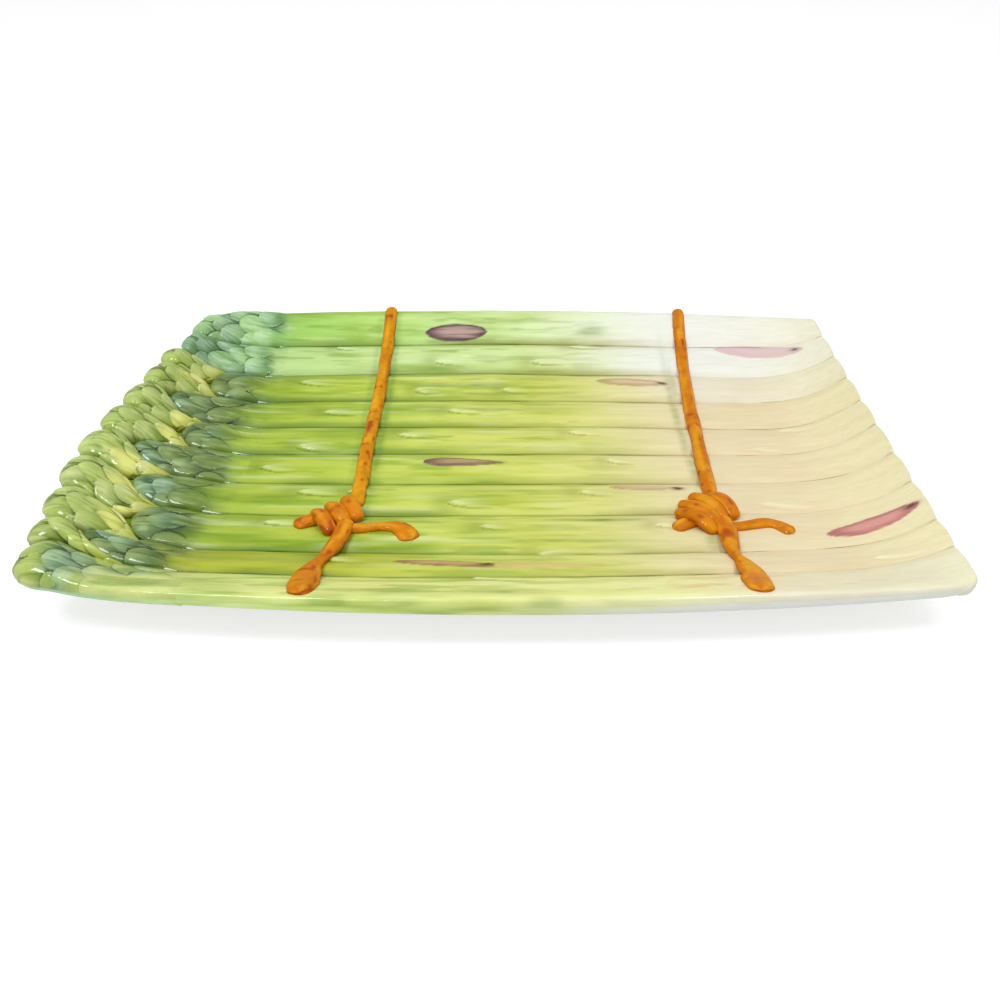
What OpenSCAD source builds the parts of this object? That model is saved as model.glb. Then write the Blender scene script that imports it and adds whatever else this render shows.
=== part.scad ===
// Glazed ceramic platter shaped as a bundle of asparagus spears lying side by side.
// The spears run along X with their heads toward -X, and the back of the platter is +Y.

/* [Platter] */
// Overall length, from the outermost spear tip to the cut ends
platter_length = 360; // [320:5:400]
// Depth from front to back across the corners
end_depth = 231; // [215:1:240]
// Depth from front to back across the middle, where the long sides swell
middle_depth = 251; // [242:1:265]
// Height of the rim over the well
well_drop = 18.4; // [14:0.2:22]
// Thickness of the clay body under the spears
body_thickness = 5; // [4.5:0.5:6.5]
// How far the outermost heads hang past the body
head_overhang = 12; // [9:1:14]
// How far the two corners beside the heads are drawn in
corner_draw = 8; // [5:1:11]
// How far the left edge bows in from its farthest point, at one half depth away from it
left_bow = 13.5; // [8:0.5:18]
// How far the rim's lip hangs below the body's edge at mid length
lip_drop = 2.5; // [1:0.5:4]

/* [Foot ring] */
// Height of the foot ring under the body
foot_height = 3.5; // [3:0.5:5]
// Width of the foot ring's flat bottom
foot_width = 7; // [5:0.5:9]
// Outer length of the foot ring
foot_ring_length = 214; // [190:2:218]
// Outer depth of the foot ring
foot_ring_depth = 136; // [110:2:140]
// Outer corner radius of the foot ring
foot_corner = 44; // [30:1:52]

/* [Spears] */
// Height of a spear's crown over the seam beside it
rib_height = 2.2; // [1.8:0.2:2.8]
// Thickness of a spear where it meets the seam
seam_height = 0.8; // [0.6:0.1:1.2]
// How far each cut end bows out past the seams
scallop_depth = 1; // [0.6:0.2:1.6]

/* [Spear heads] */
// Height of a head's core over the body
head_height = 6.4; // [5.5:0.1:7.5]
// How far one bud scale stands out of its head
scale_thickness = 1.8; // [1.2:0.1:2.4]

/* [Ties] */
// Width of the tie cord
cord_width = 6.4; // [5.5:0.1:7.5]
// Width of the flattened bulb at a cord end
bulb_width = 10; // [8.5:0.5:11]
// Width of one knot strand
strand_width = 6; // [5:0.5:7]

/* [Hidden] */
// Seams from the back rim to the front one, as shares of the half depth; the eighth spear is the widest
seam_shares = [1, 0.8, 0.6, 0.4, 0.2, 0, -0.2, -0.4, -0.64, -0.8, -1];
spear_count = len(seam_shares) - 1;
rim_seams = [2 : spear_count - 1];
function half_share(k) = (seam_shares[k - 1] - seam_shares[k]) / 2;

// Right and left edges of the clay body, and where each end starts to rise out of the well
body_right = platter_length / 2 - scallop_depth;
body_left = head_overhang - platter_length / 2;
right_rise_x = platter_length * 0.326;
left_rise_x = platter_length * -0.305;
floor_z = foot_height + body_thickness;
wall_power = 3.56;
end_power = 3.5;
flat_share = 0.65;
under_power = 1.5;

// Stations along X and seam lines across Y that the body and every spear share
left_steps = 9;
middle_steps = 6;
right_steps = 7;
across_steps = 2 * spear_count;
stations = concat(
    [for (i = [0 : left_steps - 1]) left_station(left_steps - i)],
    [for (i = [0 : middle_steps - 1]) left_rise_x + (right_rise_x - left_rise_x) * i / middle_steps],
    [for (i = [0 : right_steps]) right_rise_x + (body_right - right_rise_x) * i / right_steps]
);
lines = [for (j = [0 : across_steps]) let (s = (across_steps - j) / 2)
    (seam_shares[floor(s)] + seam_shares[ceil(s)]) / 2];
function left_station(i) = left_rise_x + (body_left - left_rise_x) * i / left_steps;

// Rise of the two ends, from 0 in the well to 1 at the rim
function left_share(x) = max(0, (x - left_rise_x) / (body_left - left_rise_x));
function left_rise(x) = pow(left_share(x), end_power);
function right_rise(x) = pow(max(0, (x - right_rise_x) / (platter_length / 2 - right_rise_x)), end_power);
function end_rise(x) = max(left_rise(x), right_rise(x));

// Half the platter's depth at a place along its length
function half_depth(x) = end_depth / 2 - corner_draw * left_rise(x)
    + (middle_depth - end_depth) / 2 * (1 - pow(2 * x / platter_length, 2));

// Place on the plan of a station x and a share v of the half depth: the left edge bows in toward its corners
bow_centre_share = -0.3;
bow_power = 1.6;
function edge_bow(v) = left_bow * pow(abs(v - bow_centre_share), bow_power);
function plan(x, v) = [x + edge_bow(v) * pow(left_share(x), 2), v * half_depth(x)];

// Top of the clay body, where v runs from -1 at the front rim to 1 at the back rim
function bed_z(x, v) = floor_z + well_drop * (1 - (1 - pow(abs(v), wall_power)) * (1 - end_rise(x)));

// Underside of the clay body, flat over the foot ring
function side_rise(v) = pow(max(0, (abs(v) - flat_share) / (1 - flat_share)), under_power);
function under_z(x, v) = foot_height + well_drop * (1 - (1 - side_rise(v)) * (1 - end_rise(x)));

function lifted(p, z) = [p.x, p.y, z];
function bed_point(x, v, lift = 0) = lifted(plan(x, v), bed_z(x, v) + lift);

// Height of a spear's rounded top over the body: u runs from -1 to 1 across one spear, and toward the
// cut ends the ribs fade out
crown_power = 3.2;
rib_fade_x = platter_length * 0.26;
end_rib_share = 0.3;
function fade(x) = max(0, (x - rib_fade_x) / (platter_length / 2 - rib_fade_x));
function rib(x) = rib_height * (1 - (1 - end_rib_share) * fade(x) * (2 - fade(x)));
function crown(u, x) = seam_height + rib(x) * (1 - pow(abs(u), crown_power));
crown_height = seam_height + rib_height;

function two_digits(k) = str(k < 10 ? "0" : "", k);
function stalk_name(k) = str("stalk_", two_digits(k));
function spear_head_name(k) = str("spear_head_", two_digits(k));
function rim_head_name(s) = str("rim_head_", two_digits(s));

tie_names = ["left_tie", "right_tie"];
tie_parts = ["_cord", "_knot", "_nub", "_side_end", "_front_end"];

// A closed solid through rings of points; reversed is for rings that run the other way round, and a
// laddered solid has end faces that bend, each closed rung by rung between the two halves of its ring
module loft(rings, reversed = false, laddered = false) {
    n = len(rings[0]);
    last = len(rings) - 1;
    sides = [for (i = [0 : last - 1]) for (m = [0 : n - 1]) let (
        a = i * n + m, b = i * n + (m + 1) % n, c = a + n, d = b + n)
        each [[a, d, c], [a, b, d]]];
    rungs = [for (m = [0 : n / 2 - 2]) [m, m + 1, n - 2 - m, n - 1 - m]];
    ring_face = [for (m = [0 : n - 1]) m];
    end_faces = laddered ? rungs : [ring_face];
    caps = concat(
        [for (f = end_faces) [for (m = [len(f) - 1 : -1 : 0]) f[m]]],
        [for (f = end_faces) [for (m = f) last * n + m]]
    );
    outward = concat(sides, caps);
    faces = reversed ? [for (f = outward) [for (m = [len(f) - 1 : -1 : 0]) f[m]]] : outward;
    polyhedron(points = [for (r = rings) each r], faces = faces, convexity = 10);
}

// The clay body: its top carries the spears, its underside is flat where the foot ring joins
module body_solid() {
    edge_inset = body_thickness * 0.4;
    loft([for (x = stations) let (lip = lip_drop * (1 - pow(2 * x / platter_length, 2))) concat(
        [for (j = [across_steps : -1 : 0]) let (v = lines[j], side = sign(v) * floor(abs(v)))
            lifted(plan(x, v) - [0, side * edge_inset], under_z(x, v) - lip * abs(side))],
        [for (v = lines) bed_point(x, v)]
    )], laddered = true);
}

// Everything under the body's top, used to seat the heads on it
module under_bed() {
    loft([for (x = stations) concat(
        [for (j = [across_steps : -1 : 0]) lifted(plan(x, lines[j]), -well_drop)],
        [for (v = lines) bed_point(x, v)]
    )], laddered = true);
}

module dish_body() {
    color("ivory") body_solid();
}

module rounded_outline(length, depth, corner) {
    hull() for (sx = [-1, 1], sy = [-1, 1])
        translate([sx * (length / 2 - corner), sy * (depth / 2 - corner)]) circle(corner, $fn = 64);
}

module foot_ring() {
    color("linen") linear_extrude(foot_height) difference() {
        rounded_outline(foot_ring_length, foot_ring_depth, foot_corner);
        rounded_outline(
            foot_ring_length - 2 * foot_width, foot_ring_depth - 2 * foot_width, foot_corner - foot_width);
    }
}

// One spear's stalk, from its head to its cut end; its underside shares the body's own facets
crown_steps = 4;
function column_start(k) = across_steps - 2 * k;
function crown_points(j, x, xb) = [for (m = [crown_steps : -1 : -crown_steps]) let (
    u = m / crown_steps,
    v = lines[j + 1] + u * (lines[j + 2] - lines[j]) / 2,
    px = x + (xb - x) * (1.1 - u * u))
    [px, v * half_depth(x), bed_z(px, v) + crown(u, x)]];
function stalk_ring(k, x, xb) = let (j = column_start(k)) concat(
    [for (m = [0 : 2]) let (v = lines[j + m], u = m - 1, px = x + (xb - x) * (1.1 - u * u))
        [px, v * half_depth(x), bed_z(px, v)]],
    crown_points(j, x, xb)
);
stalk_stations = [for (x = stations) if (x >= left_rise_x) x];

module stalk(k) {
    shade = k < 3 ? "honeydew" : k > 8 ? "beige" : "yellowgreen";
    color(shade) loft(concat(
        [for (x = stalk_stations) stalk_ring(k, x, x)],
        [stalk_ring(k, body_right, body_right + scallop_depth / 1.1)]
    ), reversed = true);
}

// The ribbed top of all the stalks as one solid, used to seat what lies on them
module ribbed_top() {
    loft([for (x = stalk_stations) concat(
        [[x, -half_depth(x), -well_drop], [x, half_depth(x), -well_drop]],
        [for (k = [1 : spear_count]) each [for (m = [0 : 2 * crown_steps - (k < spear_count ? 1 : 0)])
            crown_points(column_start(k), x, x)[m]]]
    )], reversed = true);
}

// Heads: they fill the left end from the stalks to the bowed edge and past it. The tips of the spears
// stand between the outer heads, which start behind them in the seams. Rows are counted from the stalks.
overhang_steps = 3;
last_step = left_steps + overhang_steps;
rim_start_step = 4;
spear_tip_steps = [last_step, last_step, 6, 8, 6, 8, 7, 6, 8, last_step];
rim_inset_share = 0.01;
seam_gap_share = 0.985;
tip_share = 0.3;
under_reach = body_thickness * 0.6;
function spear_v(k) = lines[column_start(k) + 1];
function past_edge(row) = max(0, row - left_steps) / overhang_steps;

// Half the width of a spear's head on a side where an outer head lies, narrowing to the spear's tip
function nose(share) = sqrt(max(0, 1 - pow(1 - share, 2)));
function spear_half(k, row) = let (tip = spear_tip_steps[k - 1]) half_share(k) * (
    row < rim_start_step ? 1
    : row >= tip ? 0
    : seam_gap_share * nose((tip - row) / (tip - rim_start_step)));
function meets_rim_head(s) = s >= rim_seams[0] && s < spear_count;

// The two borders of a head as shares of the half depth
function spear_border(k, row, side) = let (
    seam = side > 0 ? k - 1 : k,
    half = meets_rim_head(seam) ? max(spear_half(k, row), half_share(k) * (1 - seam_gap_share)) : half_share(k))
    max(rim_inset_share - 1, min(1 - rim_inset_share, spear_v(k) + side * half));
function rim_border(s, row, side) = let (k = side > 0 ? s : s + 1)
    spear_v(k) - side * spear_half(k, row);

// One cross row of a head: the points of its scales stand out and lean to the tip by turns, and past the
// body's edge the head rounds off in width and height
top_steps = 4;
function head_row(row, low_v, high_v, height, plain, overhang) = let (
    past = past_edge(row),
    round_off = tip_share + (1 - tip_share) * sqrt(1 - pow(past, 3)),
    mid_v = (low_v + high_v) / 2,
    half_v = (high_v - low_v) / 2 * round_off,
    base_x = left_station(min(row, left_steps)),
    row_run = (left_rise_x - body_left) / left_steps,
    hang = [-past * overhang, 0],
    under = under_reach * (pow(past, 2) - 1))
    concat(
        [for (side = [1, -1]) let (v = mid_v + side * half_v)
            lifted(plan(base_x, v) + hang, bed_z(base_x, v) + under)],
        [for (m = [-top_steps : top_steps]) let (
            u = m / top_steps,
            v = mid_v + u * half_v,
            inner = !plain && abs(m) < top_steps,
            stands = inner ? 0.5 + 0.5 * cos(90 * m + 180 * row) : 0,
            lean = inner ? (0.3 - 0.6 * stands) * row_run : 0,
            swell = height * (0.5 + 0.5 * round_off),
            rise = crown(u, base_x) / crown_height * swell + scale_thickness * stands)
            lifted(plan(base_x, v) + hang + [lean * (1 - past), 0], bed_z(base_x, v) + rise)]
    );

// A head's height grows from its stalk's and falls to its tip
function head_rise(share, from) = let (
    grown = min(1, share / 0.3), fall = max(0, share - 0.62) / 0.38)
    (from + (head_height - from) * grown * (2 - grown)) * sqrt(1 - 0.8 * pow(fall, 2.2));

module head(first, last, lows, highs, start_height, overhang) {
    difference() {
        loft([for (row = [first : last]) let (i = row - first) head_row(
            row, lows[i], highs[i], head_rise(i / (last - first), start_height),
            row == first || row == last, overhang)], reversed = true);
        under_bed();
    }
}

module spear_head(k) {
    last = spear_tip_steps[k - 1];
    color(k < 3 ? "mediumseagreen" : "seagreen") head(
        0, last,
        [for (row = [0 : last]) spear_border(k, row, -1)],
        [for (row = [0 : last]) spear_border(k, row, 1)],
        crown_height, head_overhang * edge_tip_shares[k < 3 ? k - 1 : 2]);
}

// How far the corner heads and the outer heads reach past the body's edge, as shares of the overhang
edge_tip_shares = [0.85, 0.6, 1.2];
rim_tip_shares = [0.94, 0.84, 0.85, 0.9, 1, 1, 1, 1];

module rim_head(s) {
    color("olivedrab") head(
        rim_start_step, last_step,
        [for (row = [rim_start_step : last_step]) rim_border(s, row, -1)],
        [for (row = [rim_start_step : last_step]) rim_border(s, row, 1)],
        crown_height, head_overhang * rim_tip_shares[s - rim_seams[0]]);
}

// Ties: places along the spears are shares of the platter's length, and across them of its half depth
knot_x_shares = [-0.172, 0.262];
knot_y_shares = [-0.484, -0.457];
cord_top_shares = [-0.155, 0.292];
cord_end_shares = [-0.155, 0.273];
wrap_shares = [-0.013, -0.0043, 0.0043, 0.013];
tail_parts = 4;

// Free ends: the nub and the side end in shares of the length from the knot, the front end with its
// second share on the way from the knot to the front rim; both of these leave a thick turn of the knot
nub_shares = [[[0, 0], [-0.020, 0.002], [-0.048, -0.003]], [[0, 0], [-0.014, -0.008], [-0.038, -0.020]]];
side_shares = [
    [[0.037, -0.022], [0.059, -0.013], [0.076, -0.015], [0.094, -0.031]],
    [[0.027, -0.024], [0.046, -0.018], [0.066, -0.012], [0.088, -0.030]]
];
front_shares = [
    [[0.009, 0.12], [0.016, 0.28], [0.009, 0.43], [-0.003, 0.57], [-0.012, 0.82], [-0.014, 0.96]],
    [[0.011, 0.13], [0.012, 0.31], [0.012, 0.50], [0.017, 0.63], [0.018, 0.95]]
];
knot_points = [for (t = [0, 1]) let (x = knot_x_shares[t] * platter_length)
    [x, knot_y_shares[t] * half_depth(x)]];

// A cord bridges the seams, so it is laid by the height of the crowns and not of the grooves
function laid(p, lift) = lifted(p, bed_z(p.x, p.y / half_depth(p.x)) + seam_height + rib(p.x) * 0.8 + lift);
function along(path, i, f) = path[i] + (path[i + 1] - path[i]) * f;
function refine(path, parts) = concat(
    [for (i = [0 : len(path) - 2]) for (f = [0 : parts - 1]) along(path, i, f / parts)],
    [path[len(path) - 1]]
);

module bead(p, width) {
    translate(p) scale([1, 1, 0.72]) sphere(width / 2, $fn = 8);
}

module strand(points, widths) {
    for (i = [0 : len(points) - 2]) hull() {
        bead(points[i], widths[i]);
        bead(points[i + 1], widths[i + 1]);
    }
}

module cord_shape(t) {
    steps = 18;
    lift = cord_width * 0.1;
    points = [for (i = [0 : steps]) let (
        f = i / steps,
        x = (cord_top_shares[t] + (cord_end_shares[t] - cord_top_shares[t]) * f) * platter_length,
        rim_y = half_depth(x) - cord_width / 2,
        y = rim_y + (knot_points[t].y + strand_width * 2.5 - rim_y) * f)
        laid([x, y], lift)];
    strand(points, [for (p = points) cord_width]);
}

module knot_shape(t) {
    arc_steps = 6;
    slant = -28;
    half_width = cord_width * 1.3;
    translate(laid(knot_points[t], 0)) rotate([0, 0, slant]) {
        for (w = wrap_shares) let (shift = w * platter_length)
            strand(
                [for (i = [0 : arc_steps]) let (a = 180 * i / arc_steps)
                    [-half_width * cos(a), shift + strand_width * 0.25 * cos(a), strand_width * 0.72 * sin(a)]],
                [for (i = [0 : arc_steps]) strand_width]
            );
        scale([half_width * 0.9, strand_width * 1.6, strand_width * 0.7]) sphere(1, $fn = 12);
    }
    bead(tail_root(t), cord_width * 1.4);
}

module tail_shape(path, narrow, wide) {
    points = [for (p = refine(path, tail_parts)) laid(p, cord_width * 0.1)];
    n = len(points) - 1;
    strand(points, [for (i = [0 : n]) let (f = i / n) narrow + (wide - narrow) * pow(f, 3)]);
}

function near_knot(shares, t) = [for (s = shares[t]) knot_points[t] + s * platter_length];
function to_rim(shares, t) = [for (s = shares[t]) let (x = knot_points[t].x + s.x * platter_length)
    [x, knot_points[t].y + s.y * (cord_width * 0.4 - half_depth(x) - knot_points[t].y)]];
function tail_root(t) = laid(to_rim(front_shares, t)[0], cord_width * 0.1);
side_widths = [cord_width * 1.5, cord_width];

module front_tail(t) {
    tail_shape(to_rim(front_shares, t), cord_width, bulb_width);
}

module side_tail(t) {
    path = concat([to_rim(front_shares, t)[0]], near_knot(side_shares, t));
    tail_shape(path, cord_width * 0.85, side_widths[t]);
}

module tie_cord(t) {
    color("darkorange") difference() {
        cord_shape(t);
        ribbed_top();
        knot_shape(t);
    }
}

module tie_knot(t) {
    color("darkorange") difference() {
        knot_shape(t);
        ribbed_top();
    }
}

module tie_nub(t) {
    color("darkorange") difference() {
        tail_shape(near_knot(nub_shares, t), cord_width, cord_width * 1.1);
        ribbed_top();
        knot_shape(t);
    }
}

module tie_side_end(t) {
    color("darkorange") difference() {
        side_tail(t);
        ribbed_top();
        knot_shape(t);
        front_tail(t);
    }
}

module tie_front_end(t) {
    color("darkorange") difference() {
        front_tail(t);
        ribbed_top();
        knot_shape(t);
    }
}

dish_body();
foot_ring();
for (k = [1 : spear_count]) {
    stalk(k);
    spear_head(k);
}
for (s = rim_seams) rim_head(s);
for (t = [0, 1]) {
    tie_cord(t);
    tie_knot(t);
    tie_nub(t);
    tie_side_end(t);
    tie_front_end(t);
}
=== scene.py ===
# Looks of the asparagus platter: glazed spears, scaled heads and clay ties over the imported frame.
import math
import bpy
import numpy as np
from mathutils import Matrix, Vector


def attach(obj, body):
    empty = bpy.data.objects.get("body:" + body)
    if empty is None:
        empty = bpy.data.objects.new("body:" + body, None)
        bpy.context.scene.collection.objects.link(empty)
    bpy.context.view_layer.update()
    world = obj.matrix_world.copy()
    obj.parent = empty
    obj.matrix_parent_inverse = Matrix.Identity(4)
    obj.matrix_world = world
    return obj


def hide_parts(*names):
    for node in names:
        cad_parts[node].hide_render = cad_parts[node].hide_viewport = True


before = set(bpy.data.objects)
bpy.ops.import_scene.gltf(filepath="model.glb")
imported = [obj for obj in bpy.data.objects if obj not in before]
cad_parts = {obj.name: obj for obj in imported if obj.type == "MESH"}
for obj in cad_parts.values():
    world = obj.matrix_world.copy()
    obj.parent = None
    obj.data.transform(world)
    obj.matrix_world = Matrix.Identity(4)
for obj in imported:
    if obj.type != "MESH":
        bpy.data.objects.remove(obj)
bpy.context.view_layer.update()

# Platter shape, in millimetres in the part's own frame
MM = 0.001
LENGTH = 360.0
END_DEPTH = 231.0
MIDDLE_DEPTH = 251.0
WELL_DROP = 18.4
BODY_THICKNESS = 5.0
HEAD_OVERHANG = 12.0
CORNER_DRAW = 8.0
LEFT_BOW = 13.5
BOW_CENTRE = -0.3
BOW_POWER = 1.6
FOOT_HEIGHT = 3.5
RIB_HEIGHT = 2.2
CROWN_POWER = 3.0
SEAM_HEIGHT = 0.8
SEAM_WANDER = 0.7
SCALLOP = 1.0
CUT_BULGE = 0.6
SPEARS = 10
SEAM_SHARES = [1, 0.8, 0.6, 0.4, 0.2, 0, -0.2, -0.4, -0.64, -0.8, -1]
WALL_POWER = 3.56
END_POWER = 3.5
FLAT_SHARE = 0.65
UNDER_POWER = 1.5
FLOOR_Z = FOOT_HEIGHT + BODY_THICKNESS
BODY_LEFT = HEAD_OVERHANG - LENGTH / 2
BODY_RIGHT = LENGTH / 2 - SCALLOP
LEFT_RISE_X = -0.305 * LENGTH
RIGHT_RISE_X = 0.326 * LENGTH
RIB_FADE_X = 0.26 * LENGTH
END_RIB = 0.3
CORNER_RADIUS = 5.0
EDGE_ROUND = 1.3
CUT_X = BODY_RIGHT - EDGE_ROUND
STALK_START = -109
STALK_SETTLED = -92

# Rim: its lip's depth below the rim line, how the spear rolls over it, and how far its faces lean in
LIP_ENDS = 5.7
LIP_SAG = 1.8
LIP_DEEPEST_X = 35
LIP_REACH = 150
ROLL_START = 0.42
ROLL_POWER = 2.2
ROLL_DROP = 1.5
FACE_POWER = 2.6
FACE_INSET = 3.0
FACE_TUCK = 6.5
CUT_INSET = 2.2

# Heads are laid out in rows, counted from the stalks to the tips
LEFT_ROWS = 9
LAST_ROW = 12
RIM_START_ROW = 4
ROW_RUN = (LEFT_RISE_X - BODY_LEFT) / LEFT_ROWS
TIP_ROWS = [12, 12, 6, 8, 6, 8, 7, 6, 8, 12]
EDGE_TIPS = {1: 0.85, 2: 0.6, 10: 1.02}
RIM_TIPS = {2: 0.94, 3: 0.84, 4: 0.85, 5: 0.9, 6: 1.0, 7: 1.0, 8: 1.0, 9: 1.0}


# Noise

LATTICE = 128


def noise(x, y, cell_x, cell_y, seed):
    """Smooth noise between -1 and 1 whose patches are cell_x by cell_y millimetres."""
    table = np.random.RandomState(seed).uniform(-1, 1, (LATTICE, LATTICE))
    gx = np.asarray(x, float) / cell_x + 50.0
    gy = np.asarray(y, float) / cell_y + 50.0
    ix, iy = np.floor(gx).astype(int), np.floor(gy).astype(int)
    fx, fy = [f * f * (3 - 2 * f) for f in (gx - ix, gy - iy)]
    a, b, c, d = [table[(ix + i) % LATTICE, (iy + j) % LATTICE] for j in (0, 1) for i in (0, 1)]
    return (a * (1 - fx) + b * fx) * (1 - fy) + (c * (1 - fx) + d * fx) * fy


def smooth(low, high, value):
    t = np.clip((np.asarray(value, float) - low) / (high - low), 0, 1)
    return t * t * (3 - 2 * t)


# Colours are written in percent, as they look, and turned into the renderer's linear values here

def linear(rgb):
    c = np.asarray(rgb, float) / 100
    return np.where(c <= 0.04045, c / 12.92, ((c + 0.055) / 1.055) ** 2.4)


def mix(a, b, share):
    share = np.clip(np.asarray(share, float), 0, 1)[..., None]
    return np.asarray(a) * (1 - share) + np.asarray(b) * share


def zeros(like, count):
    return [np.zeros_like(like) for _ in range(count)]


def stops(x, places, colours):
    """Colour along X, blended between stops."""
    colours = np.array([linear(c) for c in colours])
    return np.stack([np.interp(x, places, colours[:, i]) for i in range(3)], -1)


# Surfaces of the platter

def left_share(x):
    return np.maximum(0, (x - LEFT_RISE_X) / (BODY_LEFT - LEFT_RISE_X))


def left_rise(x):
    return left_share(x) ** END_POWER


def right_rise(x):
    return np.maximum(0, (x - RIGHT_RISE_X) / (LENGTH / 2 - RIGHT_RISE_X)) ** END_POWER


def end_rise(x):
    return left_rise(x) + right_rise(x)


def half_depth(x):
    swell = (MIDDLE_DEPTH - END_DEPTH) / 2 * (1 - (2 * x / LENGTH) ** 2)
    return END_DEPTH / 2 - CORNER_DRAW * left_rise(x) + swell


def bed_z(x, v):
    return FLOOR_Z + WELL_DROP * (1 - (1 - np.abs(v) ** WALL_POWER) * (1 - end_rise(x)))


def plan_x(x, v):
    """The left end is bowed in toward its corners."""
    return x + LEFT_BOW * np.abs(v - BOW_CENTRE) ** BOW_POWER * left_share(x) ** 2


def lip_z(x):
    """Lower edge of the rim's outer face, deepest a little right of the middle."""
    sag = np.clip(1 - ((x - LIP_DEEPEST_X) / LIP_REACH) ** 2, 0, 1)
    return FLOOR_Z + WELL_DROP - LIP_ENDS - LIP_SAG * sag


def under_z(x, v):
    side = np.maximum(0, (np.abs(v) - FLAT_SHARE) / (1 - FLAT_SHARE)) ** UNDER_POWER
    plain = FOOT_HEIGHT + WELL_DROP * (1 - (1 - side) * (1 - end_rise(x)))
    return plain + (lip_z(x) - FOOT_HEIGHT - WELL_DROP) * smooth(0.92, 1.0, np.abs(v))


def half_share(k):
    return (SEAM_SHARES[k - 1] - SEAM_SHARES[k]) / 2


def centre_v(k):
    return (SEAM_SHARES[k - 1] + SEAM_SHARES[k]) / 2


def settled(x):
    """0 where the stalks meet the heads and 1 a little further on."""
    return smooth(STALK_START, STALK_SETTLED, x)


def seam_y(s, x):
    """The seam between spears s and s + 1, which wanders a little as hand modelling does."""
    inner = 0 < s < SPEARS
    wander = SEAM_WANDER * noise(x, x * 0 + 37 * s, 46, 1, 11) * settled(x) if inner else 0
    return SEAM_SHARES[s] * half_depth(x) + wander


def rib(x):
    fade = np.clip((x - RIB_FADE_X) / (LENGTH / 2 - RIB_FADE_X), 0, 1)
    return RIB_HEIGHT * (1 - (1 - END_RIB) * fade * (2 - fade))


def crown(u, x):
    return SEAM_HEIGHT + rib(x) * (1 - np.abs(u) ** CROWN_POWER)


def rolled(u, height):
    """Outer half of a rim spear: level at first, then turning down over the rim."""
    turn = np.clip((u - ROLL_START) / (1 - ROLL_START), 0, 1)
    return -ROLL_DROP + (height + ROLL_DROP) * np.sqrt(np.clip(1 - turn ** ROLL_POWER, 0, 1))


def leaning(t):
    """How far a rim or cut face has leaned in, from 0 at its top to 1 at its lip."""
    return 1 - (1 - t ** FACE_POWER) ** (1 / FACE_POWER)


SCAR_HEIGHT = 0.9
BRACT_HEIGHT = 0.5

# Small modelled leaf scars on the stalks: where the point is, length and width
SCARS = [
    (-100, 65, 24, 10), (-83, 36, 17, 9), (-91, 5, 22, 10), (-104, -14, 17, 10), (-84, -34, 24, 10),
    (-85, 96, 14, 7), (-39, 58, 14, 9), (-44, 15, 20, 9), (-21, 38, 18, 9), (-17, -42, 20, 10),
    (-3, -61, 15, 8), (43, 98, 18, 9), (38, 17, 16, 8), (54, -8, 14, 8), (40, -34, 16, 8),
    (-30, 84, 18, 8), (22, 84, 18, 8), (-94, -58, 16, 8), (-62, -34, 16, 8), (6, 58, 14, 8),
    (118, -42, 24, 10), (140, 20, 20, 8), (128, 48, 18, 8), (20, -80, 20, 8), (-6, -103, 24, 8),
    (124, 4, 16, 7), (-64, -88, 18, 8), (150, -88, 20, 9), (70, -60, 14, 8),
]

# Purple bracts: left end, right end, width, darkness, tail to the right as a share, dot at the right end,
# colour of the edge and colour of the middle
BRACTS = [
    ((-36, 107), (-2, 108), 12.0, 0.97, 0.0, 0.0, (38, 20, 27), (74, 61, 58)),
    ((-30, -9), (8, -10), 8.0, 0.95, 0.45, 0.6, (46, 24, 28), (72, 56, 46)),
    ((-36, -90), (4, -93), 5.0, 0.90, 0.0, 0.9, (60, 36, 30), (76, 62, 40)),
    ((0, -92), (48, -94), 5.0, 0.55, 0.5, 0.0, (86, 64, 48), (90, 72, 54)),
    ((56, 66), (93, 63), 8.0, 0.70, 0.1, 1.0, (62, 50, 30), (86, 70, 64)),
    ((54, -30), (87, -31), 5.0, 0.70, 0.2, 1.0, (70, 50, 40), (86, 68, 62)),
    ((122, 95), (168, 87), 11.0, 0.62, 0.0, 0.8, (84, 60, 66), (86, 68, 74)),
    ((140, -67), (177, -61), 10.0, 0.88, 0.0, 1.0, (70, 34, 38), (86, 56, 56)),
]


def leaf_shape(p, q):
    """How far inside a pointed leaf a place is: p runs from its point to its far end, q across it."""
    width = np.clip(p, 0, 1) ** 0.55 * np.clip(1.3 - p, 0, 1) ** 0.4
    inside = (width - np.abs(q)) * np.clip(p * 8, 0, 1)
    return np.where((p > 0) & (p < 1.2), inside, -1)


def scar_parts(x, y):
    """Relief height, painted highlight and painted under-shadow of the leaf scars at a place."""
    height, pale, shadow = zeros(x, 3)
    for px, py, length, width in SCARS:
        p = (x - px) / length
        q = (y - py) / (width / 2)
        inside = leaf_shape(p, q)
        fade = np.clip(1 - p, 0, 1)
        body = smooth(0.0, 0.3, inside) * fade ** 0.8
        edge = smooth(0.0, 0.25, inside) * (1 - smooth(0.25, 0.7, inside)) * fade
        below = leaf_shape(p, (y - py + 1.2) / (width / 2)) > 0
        height += SCAR_HEIGHT * body
        # The pale edge and body are a painted highlight; the shade under and around the point is a painted
        # shadow.
        pale = np.maximum(pale, np.maximum(0.7 * edge, 0.5 * body * fade))
        around = np.exp(-((p + 0.12) / 0.3) ** 2 - (q / 1.2) ** 2) * (inside <= 0)
        shadow = np.maximum(shadow, np.where(below & (inside <= 0) & (q < 0), fade ** 0.5, 0.5 * around))
    return height, pale, shadow


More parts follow.
